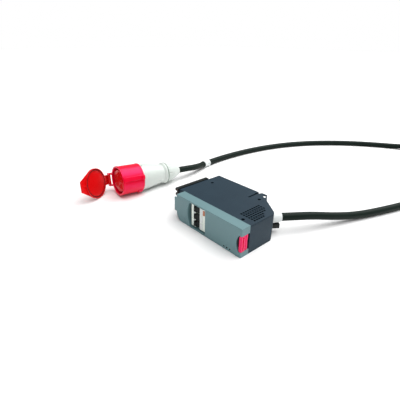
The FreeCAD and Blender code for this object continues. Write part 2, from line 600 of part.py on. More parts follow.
def make_toggle_shaft():
    return rod(TOGGLE_SHAFT, V(TOGGLE_X, TOGGLE_Y, STACK_LOW + 0.3), V(TOGGLE_X, TOGGLE_Y, STACK_HIGH - 0.3))


def make_trip_button():
    z = POLE_HEIGHTS[-1]
    front = NOSE_FRONT - TRIP_STANDS_OUT
    button = box(TRIP_X - TRIP_WIDTH / 2, TRIP_X + TRIP_WIDTH / 2, front, front + TRIP_LENGTH,
                 z - TRIP_HEIGHT / 2, z + TRIP_HEIGHT / 2)
    return button.makeFillet(0.6, edges_along(button, V(0, 0, 1), lambda m: m.y < NOSE_FRONT))


def make_label_plates():
    plates = []
    for z in POLE_HEIGHTS:
        plate = box(LABEL_FROM, LABEL_FROM + LABEL_WIDTH, NOSE_FRONT - 0.6, NOSE_FRONT, z - 7.4, z + 7.4)
        front_edges = edges_along(plate, V(0, 0, 1), lambda m: m.y < NOSE_FRONT - 0.3)
        plates.append(plate.makeChamfer(0.3, front_edges))
    return group(plates)


def make_terminal_screws():
    screws = []
    for z in POLE_HEIGHTS:
        for x in (POLE_LEFT + 6, POLE_RIGHT - 6):
            screw = rod(2.8, V(x, SHOULDER + 4, z), V(x, SHOULDER + 11, z))
            slot = box(x - 2.2, x + 2.2, SHOULDER + 3, SHOULDER + 5.2, z - 0.4, z + 0.4)
            screws.append(screw.cut(slot))
    return group(screws)


def make_din_rail():
    """A top-hat rail of 35 by 7.5 mm, standing on end behind the poles."""
    left = NOSE_LEFT + 5.2
    front = RAIL_SEAT
    back = RAIL_SEAT_BACK
    outer = [(left, front), (left + 5, front), (left + 5, back - 1), (left + 30, back - 1),
             (left + 30, front), (left + 35, front), (left + 35, front + 1), (left + 31, front + 1),
             (left + 31, back), (left + 4, back), (left + 4, front + 1), (left, front + 1)]
    return prism(outer, STACK_LOW + 1, STACK_HIGH - 1)


def make_rail_bracket():
    back = RAIL_SEAT_BACK
    plate = box(NOSE_LEFT + 4, NOSE_LEFT + 42, back, back + 2, TRAY_FLOOR, STACK_HIGH - 2)
    foot = box(NOSE_LEFT + 4, NOSE_LEFT + 42, back, back + 16, TRAY_FLOOR, TRAY_FLOOR + 2)
    return union(plate, foot)


# ---------------------------------------------------------------- rear contacts and wiring
def make_contact_block():
    block = box(CONTACT_LEFT, CONTACT_RIGHT, CONTACT_FRONT, BODY_BACK, CONTACT_LOW, CONTACT_HIGH)
    block = block.makeChamfer(0.8, edges_along(block, V(0, 1, 0)))
    low = JAW_MIDDLE - JAW_HEIGHT / 2
    high = JAW_MIDDLE + JAW_HEIGHT / 2
    room = JAW_GAP / 2 + JAW_WALL + 0.6
    cuts = []
    for x in JAWS:
        cuts.append(box(x - JAW_GAP / 2, x + JAW_GAP / 2, BODY_BACK - 5, BODY_BACK + 1, low, high))
        cuts.append(box(x - room, x + room, CONTACT_FRONT - 1, BODY_BACK - TRAY_WALL, low, high))
    return block.cut(cuts)


def make_busbar_jaws():
    half = JAW_GAP / 2
    low = JAW_MIDDLE - JAW_HEIGHT / 2 + 1
    high = JAW_MIDDLE + JAW_HEIGHT / 2 - 1
    back = BODY_BACK - TRAY_WALL - 1.5
    jaws = []
    for x in JAWS:
        base = box(x - half - JAW_WALL, x + half + JAW_WALL, CONTACT_FRONT, CONTACT_FRONT + 3, low, high)
        left = box(x - half - JAW_WALL, x - half, CONTACT_FRONT, back, low, high)
        right = box(x + half, x + half + JAW_WALL, CONTACT_FRONT, back, low, high)
        tail = rod(3.2, V(x, JAW_TAIL, JAW_MIDDLE), V(x, CONTACT_FRONT + 1, JAW_MIDDLE))
        jaws.append(union(base, left, right, tail))
    return group(jaws)


def core_end(index, back):
    """Where core number index ends, back millimetres behind the boot's inner face."""
    angle = math.radians(90 + 72 * index)
    inner = CORNER_MIDDLE - CORNER_OUT * (8.0 + back) + V(0, 0, EXIT_HEIGHT)
    return inner + CORNER_ALONG * (CORE_CIRCLE * math.cos(angle)) + V(0, 0, CORE_CIRCLE * math.sin(angle))


def make_line_wire(index):
    z = POLE_HEIGHTS[index]
    x = JAWS[index]
    side = POLE_LEFT - 20
    points = [V(x, JAW_TAIL, JAW_MIDDLE), V(x, JAW_TAIL - 12, JAW_MIDDLE), V(x - 2, JAW_TAIL - 26, z),
              V(side + 2, POLE_BACK + 11.5, z + 0.4), V(side - 2, POLE_BACK - 8.5, z), V(side + 5, LOAD_Y, z),
              V(POLE_LEFT, LOAD_Y, z)]
    return tube_along(points, CORE_RADIUS)


def make_load_wire(index):
    z = POLE_HEIGHTS[index]
    core = (3, 4, 0)[index]
    end = core_end(core, 0)
    before = core_end(core, 14)
    middle = V(BODY_RIGHT - 50, POLE_BACK - 0.5, (z + before.z) / 2)
    points = [V(POLE_RIGHT, LOAD_Y, z), V(SENSOR_RIGHT + 6.5, LOAD_Y, z), middle, before, end]
    return tube_along(points, CORE_RADIUS)


def make_neutral_wire():
    start = V(JAWS[3], JAW_TAIL, JAW_MIDDLE)
    high = V(SENSOR_LEFT + 4.5, JAW_TAIL - 28, JAW_MIDDLE + 14)
    points = [start, start - V(0, 12, 0), V(JAWS[3] + 22, JAW_TAIL - 23, JAW_MIDDLE + 10), high,
              core_end(1, 16), core_end(1, 0)]
    return tube_along(points, CORE_RADIUS)


def make_earth_wire():
    start = V(JAWS[4], JAW_TAIL, JAW_MIDDLE)
    low = V(SENSOR_RIGHT + 0.5, JAW_TAIL - 23, JAW_MIDDLE - 12)
    points = [start, start - V(0, 10, 0), V(JAWS[4] + 14, JAW_TAIL - 19, JAW_MIDDLE - 10), low,
              core_end(2, 16), core_end(2, 0)]
    return tube_along(points, CORE_RADIUS)


def make_sensor(index):
    z = POLE_HEIGHTS[index]
    half = SENSOR_HALF
    block = box(SENSOR_LEFT, SENSOR_RIGHT, LOAD_Y - half, LOAD_Y + half, z - half, z + half)
    block = block.makeFillet(2.5, edges_along(block, V(1, 0, 0)))
    return block.cut(rod(CORE_RADIUS + 0.6, V(SENSOR_LEFT - 1, LOAD_Y, z), V(SENSOR_RIGHT + 1, LOAD_Y, z)))


def make_sensor_bracket():
    left = SENSOR_RIGHT
    half = SENSOR_HALF + 1
    top = POLE_HEIGHTS[-1] + SENSOR_HALF
    plate = box(left, left + BRACKET_THICK, LOAD_Y - half, LOAD_Y + half, TRAY_FLOOR, top)
    foot = box(left, left + 13, LOAD_Y - half, LOAD_Y + half, TRAY_FLOOR, TRAY_FLOOR + BRACKET_THICK)
    holes = [rod(CORE_RADIUS + 1.2, V(left - 1, LOAD_Y, z), V(left + 3, LOAD_Y, z)) for z in POLE_HEIGHTS]
    return union(plate, foot).cut(holes)


def make_board():
    return box(BOARD_LEFT, BOARD_RIGHT, BOARD_FRONT, BOARD_FACE, BOARD_LOW, BOARD_HIGH)


def make_board_parts():
    x = BOARD_LEFT
    face = BOARD_FACE
    parts = [box(x + 12, x + 32, face, face + 13, 30, 46), box(x + 34, x + 46, face, face + 9, 34, 50),
             box(x + 6, x + 16, face, face + 2, 12, 22)]
    for middle in (x + 24, x + 34):
        parts.append(rod(4, V(middle, face, 20), V(middle, face + 11, 20)))
    for x in LIGHTS:
        low = LIGHT_HEIGHT + 0.5
        parts.append(box(x - 1.5, x + 1.5, BOARD_FRONT - 1.2, BOARD_FRONT, low, low + 2))
    return group(parts)


def make_light_pipes():
    back = BOARD_FRONT - 1.6
    pipes = [rod(LIGHT_RADIUS, V(x, 0.3, LIGHT_HEIGHT), V(x, back, LIGHT_HEIGHT)) for x in LIGHTS]
    bar = box(LIGHTS[0] - 1, LIGHTS[-1] + 1, back - 4, back - 1.5, LIGHT_HEIGHT - 1, LIGHT_HEIGHT + 1)
    return union(*pipes, bar)


# ---------------------------------------------------------------- release lever
def make_lever():
    x = LEVER_X
    y = LEVER_PIVOT_Y
    low = LEVER_LOW + LEVER_GAP
    high = LEVER_HIGH - LEVER_GAP
    side = BEZEL_WIDTH
    grip = prism([(LEVER_LEFT, 0.6), (side - 1.6, 0.3), (side, 1.8), (side, LEVER_DEPTH),
                  (side - 2.4, LEVER_DEPTH), (side - 3.6, 4.2), (LEVER_LEFT, 4.2)], low, high)
    grip = grip.makeFillet(3.0, edges_along(grip, V(0, 1, 0), lambda m: m.x < LEVER_LEFT + 0.1))
    arm = prism([(side - 4.6, 3.4), (side - 2.2, 3.4), (side - 2.2, y), (x - 2.9, y), (x - 2.9, y - 3),
                 (side - 4.6, 9.0)], low, high)
    hub = rod(LEVER_HUB, V(x, y, low), V(x, y, high))
    lever = union(grip, arm, hub)
    groove = box(BEZEL_WIDTH - 1.4, BEZEL_WIDTH + 1, 4.6, 7.4, low + 3, high - 3)
    spring_room = rod(6.0, V(x, y, SPRING_LOW), V(x, y, SPRING_HIGH))
    spring_room = spring_room.cut(box(x + 0.6, x + 7, 0, y + 1, SPRING_LOW - 1, SPRING_HIGH + 1))
    bore = rod(LEVER_PIN + RUNNING_GAP, V(x, y, low - 1), V(x, y, high + 1))
    spring_bore = rod(4.6, V(x, y, SPRING_LOW), V(x, y, SPRING_HIGH))
    return lever.cut([groove, spring_room, bore, spring_bore])


def make_lever_pin():
    pivot = V(LEVER_X, LEVER_PIVOT_Y, 0)
    return rod(LEVER_PIN, pivot + V(0, 0, LEVER_LOW - 2.4), pivot + V(0, 0, LEVER_HIGH + 2.4))


def make_lever_spring():
    """A coiled torsion spring round the lever's pin."""
    helix = Part.makeHelix(1.5, 6.0, 3.2)
    circle = Part.Circle(V(3.2, 0, 0), V(0, 1, 0), 0.6)
    coil = Part.Wire(helix).makePipeShell([Part.Wire(circle.toShape())], True, True)
    return coil.translated(V(LEVER_X, LEVER_PIVOT_Y, SPRING_LOW + 1.5))


# ---------------------------------------------------------------- lead
def exit_place(along, z=EXIT_HEIGHT):
    """A point on the lead's exit axis, measured outwards from the cut-off corner's face."""
    return CORNER_MIDDLE + CORNER_OUT * along + V(0, 0, z)


def make_boot():
    profile = [(0, -8), (BOOT_FLANGE, -8), (BOOT_FLANGE, -TRAY_WALL), (BOOT_WALL_RADIUS, -TRAY_WALL),
               (BOOT_WALL_RADIUS, 2), (BOOT_END_RADIUS, BOOT_LENGTH - 1),
               (BOOT_END_RADIUS - 0.8, BOOT_LENGTH), (0, BOOT_LENGTH)]
    boot = lathe(profile)
    heading = math.degrees(math.atan2(CORNER_OUT.x, CORNER_OUT.y))
    boot = boot.rotated(V(0, 0, 0), V(0, 0, 1), -heading)
    return boot.translated(exit_place(0))


def make_cleat():
    """A black tongue under the boot that the lead rests on."""
    along = BOOT_LENGTH - 3
    tongue = Part.makeBox(16, along, 10, V(-8, 0, 0))
    tongue = tongue.makeFillet(2.0, edges_along(tongue, V(0, 0, 1), lambda m: m.y > 1))
    heading = math.degrees(math.atan2(CORNER_OUT.x, CORNER_OUT.y))
    tongue = tongue.rotated(V(0, 0, 0), V(0, 0, 1), -heading)
    return tongue.translated(CORNER_MIDDLE + V(0, 0, EXIT_HEIGHT - BOOT_WALL_RADIUS - 10.5))


def box_run_points():
    """The lead's route from the box to the coil, where it joins the outer turn."""
    reach = COIL_RADIUS + (COIL_TURNS_WIDE + 0.678) * CABLE_RADIUS
    turn = math.radians(-30)
    x, y = COIL_CENTRE
    beside_coil = V(x + reach * math.cos(turn), y + reach * math.sin(turn), CABLE_LOW)
    return [
        exit_place(BOOT_LENGTH),
        exit_place(BOOT_LENGTH + 32),
        V(224.5, 203.0, 31.5),
        V(248.0, 254.5, 20.5),
        V(273.0, 315.5, 11.0),
        V(299.4, 385.0, CABLE_LOW),
        V(325.0, 458.7, CABLE_LOW),
        V(348.0, 535.4, CABLE_LOW),
        V(368.0, 617.1, CABLE_LOW),
        V(383.5, 699.7, CABLE_LOW),
        V(394.5, 779.0, CABLE_LOW),
        beside_coil,
    ]


def connector_run_points():
    """The lead's route from the connector to the coil, where it comes off over the outer turn."""
    on_coil = FLOOR_LIFT + 3 * CABLE_RADIUS - 0.6
    return [
        seat_point(V(0, NUT_END, 0)),
        seat_point(V(0, NUT_END + 30, 0)),
        V(-184.5, 214.0, 21.0),
        V(-198.0, 250.0, 14.0),
        V(-210.5, 300.0, 9.8),
        V(-215.0, 362.0, CABLE_LOW),
        V(-213.0, 435.0, CABLE_LOW),
        V(-204.0, 512.0, CABLE_LOW),
        V(-187.0, 592.0, CABLE_LOW),
        V(-159.0, 672.0, CABLE_LOW),
        V(-121.0, 745.0, CABLE_LOW),
        V(-70.0, 815.0, CABLE_LOW),
        V(-8.0, 880.0, CABLE_LOW),
        V(62.0, 935.0, CABLE_LOW),
        V(130.0, 975.0, 10.0),
        V(188.0, 999.0, 17.0),
        V(228.0, 1010.0, on_coil + 1.4),
        V(266.0, 1011.0, on_coil + 2.0),
        V(296.0, 1003.5, on_coil),
    ]


def make_coil():
    """The outer shape of the lead's turns, lying flat."""
    half = COIL_TURNS_WIDE * CABLE_RADIUS
    x, y = COIL_CENTRE
    outer = Part.makeCylinder(COIL_RADIUS + half, 2 * CABLE_RADIUS, V(x, y, FLOOR_LIFT))
    inner = Part.makeCylinder(COIL_RADIUS - half, 2 * CABLE_RADIUS, V(x, y, FLOOR_LIFT))
    ring = outer.cut(inner)
    round_edges = [e for e in ring.Edges if isinstance(e.Curve, Part.Circle)]
    return ring.makeFillet(CABLE_RADIUS * 0.8, round_edges)


def make_coil_tie():
    """A strap over the turns, open underneath."""
    x, y = COIL_CENTRE
    half = COIL_TURNS_WIDE * CABLE_RADIUS
    top = 2 * CABLE_RADIUS + FLOOR_LIFT
    inside = COIL_RADIUS - half - 0.4
    outside = COIL_RADIUS + half + 0.4
    profile = [(inside - 1.2, FLOOR_LIFT), (inside, FLOOR_LIFT), (inside, top + 0.3), (outside, top + 0.3),
               (outside, FLOOR_LIFT), (outside + 1.2, FLOOR_LIFT), (outside + 1.2, top + 1.5),
               (inside - 1.2, top + 1.5)]
    corners = [V(r, 0, z) for r, z in profile]
    face = Part.Face(Part.makePolygon(corners + corners[:1]))
    strap = face.revolve(V(0, 0, 0), V(0, 0, 1), 12)
    return strap.rotated(V(0, 0, 0), V(0, 0, 1), 214).translated(V(x, y, 0))


def make_marker():
    """A printed sleeve on the lead, near the connector."""
    points = connector_run_points()
    a = points[3]
    b = points[4]
    way = (b - a).normalize()
    middle = (a + b) * 0.5
    start = middle - way * 16
    return pipe(CABLE_RADIUS + 1.5, CABLE_RADIUS + 0.7, start, start + way * 32)


# ---------------------------------------------------------------- connector
def seat(shape):
    """Turns a piece drawn along +Y with its face at zero to where the connector lies."""
    turned = shape.rotated(V(0, 0, 0), V(0, 1, 0), -CONNECTOR_ROLL)
    turned = turned.rotated(V(0, 0, 0), V(1, 0, 0), -CONNECTOR_PITCH)
    turned = turned.rotated(V(0, 0, 0), V(0, 0, 1), -CONNECTOR_HEADING)
    return turned.translated(CONNECTOR_FRONT)


def seat_point(point):
    return seat(Part.Vertex(point)).Point


def contact_places():
    places = []
    for i in range(CONTACT_COUNT):
        angle = math.radians(-90 + 22 + 360 / CONTACT_COUNT * i)
        places.append((CONTACT_CIRCLE * math.cos(angle), CONTACT_CIRCLE * math.sin(angle)))
    return places


def make_barrel():
    end = SOCKET_LENGTH
    bead = SOCKET_RADIUS + RIM_BEAD
    shell = lathe([(SOCKET_BORE, 0), (bead, 0), (bead, 3.5), (SOCKET_RADIUS, 4.5), (SOCKET_RADIUS, end - 3.6),
                   (COLLAR_RADIUS, end - 3), (COLLAR_RADIUS, end), (INNER_STEP, end),
                   (INNER_STEP, end - SEAT_DEPTH), (SOCKET_BORE, end - SEAT_DEPTH)])
    rib = box(SOCKET_RADIUS - 1.5, SOCKET_RADIUS + 1.9, 3.5, end, -6, 6)
    rib = rib.makeFillet(1.4, edges_along(rib, V(0, 1, 0), lambda m: m.x > SOCKET_RADIUS))
    bump = box(SOCKET_RADIUS - 1.5, SOCKET_RADIUS + 4.2, end - 7, end, -5, 5)
    bump = bump.makeFillet(1.4, edges_along(bump, V(0, 1, 0), lambda m: m.x > SOCKET_RADIUS))
    key = union(rib, bump).rotated(V(0, 0, 0), V(0, 1, 0), -KEY_ANGLE)
    catch = box(SOCKET_RADIUS - 1.5, SOCKET_RADIUS + 2.4, end - 14, end - 2, -5, 5)
    catch = catch.rotated(V(0, 0, 0), V(0, 1, 0), CATCH_ANGLE)
    lugs = []
    for z0 in (HINGE_HALF + 0.5, -HINGE_HALF - 0.5 - HINGE_LUG):
        z1 = z0 + HINGE_LUG
        arm = box(-LID_PIVOT, 2 - SOCKET_RADIUS, LID_PIN_ALONG - HINGE_RADIUS, LID_PIN_ALONG + 9, z0, z1)
        tip = rod(HINGE_RADIUS, V(-LID_PIVOT, LID_PIN_ALONG, z0), V(-LID_PIVOT, LID_PIN_ALONG, z1))
        gusset = box(-LID_PIVOT + 6, 2 - SOCKET_RADIUS, LID_PIN_ALONG + 8, LID_PIN_ALONG + 16, z0, z1)
        lug = union(arm, tip, gusset)
        lugs.append(lug.cut(box(-SOCKET_RADIUS - 6, 0, -30, 0, z0 - 1, z1 + 1)))
    barrel = union(shell, key, catch, *lugs)
    hole = rod(LID_PIN_RADIUS, V(-LID_PIVOT, LID_PIN_ALONG, -30), V(-LID_PIVOT, LID_PIN_ALONG, 30))
    mouth = rod(SOCKET_BORE, V(0, -10, 0), V(0, end - SEAT_DEPTH, 0))
    return seat(barrel.cut([hole, mouth]))


def make_insert():
    back = SOCKET_LENGTH - SEAT_DEPTH
    front = back - 7
    core = lathe([(0, 3), (INSERT_RADIUS - 0.8, 3), (INSERT_RADIUS, 3.8), (INSERT_RADIUS, front),
                  (SOCKET_BORE, front), (SOCKET_BORE, back), (INNER_STEP, back), (INNER_STEP, back + 5),
                  (0, back + 5)])
    collars = []
    cuts = []
    for x, z in contact_places():
        mouth = V(x, COLLAR_FACE, z)
        deep = CONTACT_FROM - COLLAR_FACE
        collars.append(rod(COLLAR_OUT, mouth, V(x, 4, z)))
        cuts.append(Part.makeCone(COLLAR_IN, PIN_RADIUS + FIT_GAP, deep, mouth, V(0, 1, 0)))
        cuts.append(rod(SLEEVE_RADIUS, V(x, CONTACT_FROM, z), V(x, CONTACT_TO, z)))
    key = box(INSERT_RADIUS - 3, INSERT_RADIUS + 1, 2, 30, -2.5, 2.5)
    cuts.append(key.rotated(V(0, 0, 0), V(0, 1, 0), -KEY_ANGLE))
    return seat(union(core, *collars).cut(cuts))


def make_sleeves():
    sleeves = []
    for x, z in contact_places():
        sleeve = rod(SLEEVE_RADIUS, V(x, CONTACT_FROM, z), V(x, CONTACT_TO, z))
        bore = rod(PIN_RADIUS, V(x, CONTACT_FROM - 1, z), V(x, CONTACT_FROM + CONTACT_DEPTH, z))
        sleeves.append(sleeve.cut(bore))
    return seat(group(sleeves))


def open_lid(shape):
    return shape.rotated(V(-LID_PIVOT, LID_PIN_ALONG, 0), V(0, 0, 1), -LID_OPEN)


def make_lid():
    front = -LID_FRONT
    plate = front + LID_PLATE
    disc = lathe([(0, front), (LID_RADIUS - 1.2, front), (LID_RADIUS, front + 1.2), (LID_RADIUS, -1.0),
                  (LID_RADIUS - 2, -1.0), (LID_RADIUS - 2, plate), (LID_RING, plate), (LID_RING, -1.6),
                  (LID_RING - 2, -1.6), (LID_RING - 2, -2.4), (0, -2.4)])
    reach = math.hypot(LID_TIP, LID_TIP_HALF)
    turn = math.atan2(LID_TIP_HALF, LID_TIP) + math.acos((LID_RADIUS - 1.2) / reach)
    x = (LID_RADIUS - 1.2) * math.cos(turn)
    z = (LID_RADIUS - 1.2) * math.sin(turn)
    tab = prism_y([(x, -z), (LID_TIP, -LID_TIP_HALF), (LID_TIP, LID_TIP_HALF), (x, z)], front, plate)
    tab = tab.makeFillet(3.0, edges_along(tab, V(0, 1, 0), lambda m: m.x > LID_TIP - 1))
    half = HINGE_HALF
    strap = box(-LID_PIVOT, -LID_RADIUS + 4, front, plate, -half, half)
    knuckle = rod(HINGE_RADIUS, V(-LID_PIVOT, LID_PIN_ALONG, -half), V(-LID_PIVOT, LID_PIN_ALONG, half))
    web = box(-LID_PIVOT - 1, -LID_PIVOT + 4, front, LID_PIN_ALONG, -half, half)
    ribs = []
    for i in range(5):
        z = (i - 2) * (half - 0.8) / 2
        ribs.append(box(-LID_PIVOT + 3.5, -LID_RADIUS - 0.5, plate - 0.2, plate + 1.2, z - 0.8, z + 0.8))
    ribs.append(box(-LID_PIVOT + 9, -LID_PIVOT + 10.4, plate - 0.2, plate + 1.2, -half, half))
    root = LID_RADIUS - 1
    nib = prism_y([(root, -2.4), (root + 6.5, 0), (root, 2.4)], plate - 0.2, plate + 1.6)
    pivot = V(-LID_PIVOT, LID_PIN_ALONG, 0)
    bore = rod(LID_PIN_RADIUS + RUNNING_GAP, pivot - V(0, 0, 30), pivot + V(0, 0, 30))
    notch = box(LID_RADIUS - 2.2, LID_RADIUS + 1, plate + 1.6, 0, -1.6, 1.6)
    return seat(open_lid(union(disc, tab, strap, knuckle, web, nib, *ribs).cut([bore, notch])))


def make_gasket():
    low = LID_PLATE - LID_FRONT
    high = low + 1.6
    inner = LID_RING + 0.4
    outer = LID_RADIUS - 2.4
    return seat(open_lid(lathe([(inner, low), (outer, low), (outer, high), (inner, high)])))


def make_lid_pin():
    half = HINGE_HALF + HINGE_LUG + 1.0
    return seat(rod(LID_PIN_RADIUS, V(-LID_PIVOT, LID_PIN_ALONG, -half), V(-LID_PIVOT, LID_PIN_ALONG, half)))


def make_housing():
    """A collar at the barrel, a tapered grip, and a flange at the clamp ring."""
    start = SOCKET_LENGTH
    collar = SOCKET_RADIUS - 1.7
    flange = collar - 7.0
    waist = collar - 10.8
    outside = [(collar, start), (collar, start + 9), (collar - 1.6, start + 10.5), (collar - 2.0, start + 22),
               (waist + 0.8, HOUSING_END - 14), (waist, HOUSING_END - 9), (flange - 0.6, HOUSING_END - 5),
               (flange, HOUSING_END - 4), (flange, HOUSING_END)]
    inside = [(r - HOUSING_WALL, a) for r, a in reversed(outside)]
    screw_hole = rod(2.0, V(collar - 6, start + 4.5, 0), V(collar + 4, start + 4.5, 0))
    holes = [screw_hole.rotated(V(0, 0, 0), V(0, 1, 0), angle) for angle in (-60, 120)]
    return seat(lathe(outside + inside).cut(holes))


def make_clamp_ring():
    outer = SOCKET_RADIUS - 8.5
    inner = outer - 9.0
    ring = lathe([(inner, HOUSING_END), (outer - 0.8, HOUSING_END), (outer, HOUSING_END + 0.8),
                  (outer, RING_END - 0.8), (outer - 0.8, RING_END), (inner, RING_END)])
    return seat(ring)


def make_nut():
    start = RING_END
    bore = GLAND_BORE
    wide = SOCKET_RADIUS - 12.4
    nut = lathe([(bore + 2.2, start), (wide, start), (wide, start + 8), (wide - 2.1, start + 22),
                 (bore + 3.4, NUT_END - 3), (bore + 2, NUT_END), (bore, NUT_END), (bore, NUT_END - 12),
                 (bore + 2.2, NUT_END - 12)])
    flutes = []
    for i in range(10):
        flute = rod(2.0, V(wide + 1.1, start + 1.5, 0), V(wide + 0.1, start + 18, 0))
        flutes.append(flute.rotated(V(0, 0, 0), V(0, 1, 0), 36 * i))
    return seat(nut.cut(flutes))


def make_seal():
    inner = GLAND_BORE - 0.1
    outer = inner + 2.2
    shoulder = NUT_END - 12.1
    seal = lathe([(0, HOUSING_END + 2), (outer, HOUSING_END + 2), (outer, shoulder), (inner, shoulder),
                  (inner, NUT_END), (0, NUT_END)])
    return seat(seal)


# ---------------------------------------------------------------- all pieces
def all_pieces():
    pieces = {
        "base_tray": make_tray(),
        "top_cover": make_cover(),
        "cover_screws": make_cover_screws(),
        "front_bezel": make_bezel(),
        "side_guide_rail": make_rail(),
        "guide_rail_screws": make_rail_screws(),
        "toggle_tie_rod": make_tie_rod(),
        "toggle_shaft": make_toggle_shaft(),
        "trip_button": make_trip_button(),
        "pole_label_plates": make_label_plates(),
        "terminal_screws": make_terminal_screws(),
        "din_rail": make_din_rail(),
        "rail_bracket": make_rail_bracket(),
        "rear_contact_block": make_contact_block(),
        "busbar_jaws": make_busbar_jaws(),
        "neutral_wire": make_neutral_wire(),
        "earth_wire": make_earth_wire(),
        "sensor_bracket": make_sensor_bracket(),
        "monitor_board": make_board(),
        "board_components": make_board_parts(),
        "light_pipes": make_light_pipes(),
        "release_lever": make_lever(),
        "lever_pin": make_lever_pin(),
        "lever_spring": make_lever_spring(),
        "strain_relief_boot": make_boot(),
        "cord_cleat": make_cleat(),
        "cable_box_run": tube_along(box_run_points(), CABLE_RADIUS, "box run"),
        "cable_connector_run": tube_along(connector_run_points(), CABLE_RADIUS, "connector run"),
        "cable_coil": make_coil(),
        "coil_tie": make_coil_tie(),
        "cable_marker": make_marker(),
        "connector_barrel": make_barrel(),
        "connector_insert": make_insert(),
        "contact_sleeves": make_sleeves(),
        "connector_lid": make_lid(),
        "lid_gasket": make_gasket(),
        "lid_hinge_pin": make_lid_pin(),
        "connector_housing": make_housing(),
        "clamp_ring": make_clamp_ring(),
        "gland_nut": make_nut(),
        "gland_seal": make_seal(),
    }
    for i in range(POLE_COUNT):
        pieces["breaker_pole_%d" % (i + 1)] = make_pole(i)
        pieces["breaker_toggle_%d" % (i + 1)] = make_toggle(i)
        pieces["line_wire_%d" % (i + 1)] = make_line_wire(i)
        pieces["load_wire_%d" % (i + 1)] = make_load_wire(i)
        pieces["current_sensor_%d" % (i + 1)] = make_sensor(i)
    return {name: place(shape) for name, shape in pieces.items()}


def main():
    os.makedirs("parts", exist_ok=True)
    for name, shape in all_pieces().items():
        shape.exportStep("parts/%s.step" % name)


if __name__ == "__main__":
    main()
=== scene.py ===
import math

import bmesh
import bpy
from mathutils import Euler, Matrix, Vector


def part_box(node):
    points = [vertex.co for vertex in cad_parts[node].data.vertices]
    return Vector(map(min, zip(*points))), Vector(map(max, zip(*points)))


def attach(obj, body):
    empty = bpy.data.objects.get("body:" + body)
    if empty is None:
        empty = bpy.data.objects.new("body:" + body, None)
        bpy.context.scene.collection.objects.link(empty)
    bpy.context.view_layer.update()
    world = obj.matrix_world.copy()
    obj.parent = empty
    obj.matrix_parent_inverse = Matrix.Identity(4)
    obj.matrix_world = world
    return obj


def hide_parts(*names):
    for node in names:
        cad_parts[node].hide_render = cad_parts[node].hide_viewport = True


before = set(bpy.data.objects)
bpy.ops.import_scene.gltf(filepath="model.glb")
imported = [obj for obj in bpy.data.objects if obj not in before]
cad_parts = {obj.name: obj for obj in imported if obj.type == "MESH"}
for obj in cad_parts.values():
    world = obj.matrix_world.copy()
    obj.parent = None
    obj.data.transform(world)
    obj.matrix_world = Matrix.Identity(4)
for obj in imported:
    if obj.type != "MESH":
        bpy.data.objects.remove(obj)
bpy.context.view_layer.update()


# ---------------------------------------------------------------- camera and light
CAMERA_PLACE = (0.4232, -0.4574, 0.3729)
CAMERA_TILT = 62.94
CAMERA_TURN = 48.23
CAMERA_ROLL = 0.57
CAMERA_LENS = 28.35
AMBIENT = 0.32
BACKDROP = 1.0
OVERHEAD_ENERGY = 3.4
OVERHEAD_SOFTNESS = 70       # degrees across, so that its shadows have no edge
OVERHEAD_TURN = (-14, 10, 0)
LIT_SPOT = (-0.05, 0, 0.03)  # what the two area lights face


def add_camera():
    data = bpy.data.cameras.new("camera")
    data.lens = CAMERA_LENS
    data.clip_start = 0.01
    data.clip_end = 50
    camera = bpy.data.objects.new("camera", data)
    bpy.context.scene.collection.objects.link(camera)
    camera.location = CAMERA_PLACE
    turned = Euler((math.radians(CAMERA_TILT), 0, math.radians(CAMERA_TURN))).to_matrix()
    rolled = turned @ Matrix.Rotation(math.radians(CAMERA_ROLL), 3, "Z")
    camera.rotation_euler = rolled.to_euler()
    bpy.context.scene.camera = camera


def add_area_light(name, place, size, power):
    data = bpy.data.lights.new(name, "AREA")
    data.shape = "SQUARE"
    data.size = size
    data.energy = power
    light = bpy.data.objects.new(name, data)
    bpy.context.scene.collection.objects.link(light)
    light.location = place
    light.rotation_euler = (Vector(LIT_SPOT) - Vector(place)).to_track_quat("-Z", "Y").to_euler()


def add_world():
    """Even white light. The camera sees a brighter white than the light that falls on the object."""
    world = bpy.data.worlds.new("studio")
    world.use_nodes = True
    tree = world.node_tree
    soft = tree.nodes["Background"]
    soft.inputs["Color"].default_value = (1, 1, 1, 1)
    soft.inputs["Strength"].default_value = AMBIENT
    backdrop = tree.nodes.new("ShaderNodeBackground")
    backdrop.inputs["Color"].default_value = (1, 1, 1, 1)
    backdrop.inputs["Strength"].default_value = BACKDROP
    ray = tree.nodes.new("ShaderNodeLightPath")
    choose = tree.nodes.new("ShaderNodeMixShader")
    tree.links.new(ray.outputs["Is Camera Ray"], choose.inputs[0])
    tree.links.new(soft.outputs[0], choose.inputs[1])
    tree.links.new(backdrop.outputs[0], choose.inputs[2])
    tree.links.new(choose.outputs[0], tree.nodes["World Output"].inputs["Surface"])
    bpy.context.scene.world = world


def add_lights():
    overhead = bpy.data.lights.new("soft_overhead", "SUN")
    overhead.energy = OVERHEAD_ENERGY
    overhead.angle = math.radians(OVERHEAD_SOFTNESS)
    light = bpy.data.objects.new("soft_overhead", overhead)
    bpy.context.scene.collection.objects.link(light)
    light.rotation_euler = [math.radians(degrees) for degrees in OVERHEAD_TURN]
    add_area_light("soft_back", (-0.1, 1.3, 1.1), 1.2, 9)
    add_area_light("soft_front", (0.5, -1.5, 0.6), 1.0, 3)
    bpy.context.scene.view_settings.view_transform = "Standard"


add_camera()
add_world()
add_lights()


# ---------------------------------------------------------------- the lead
CABLE_DIAMETER = 0.018
CABLE_LOW = 0.0092
COIL_CENTRE = (0.209, 0.8358)
COIL_OUTER = 0.109
COIL_INNER = 0.091
COIL_STEP = 30               # degrees between the coil's points
COIL_END = 780
INWARD_FROM = 330            # where the lead moves to the inner turn, in degrees round the coil
INWARD_OVER = 60
RISE_FROM = 640              # where it climbs onto the turns below
RISE_OVER = 75
STACKED = 0.0278

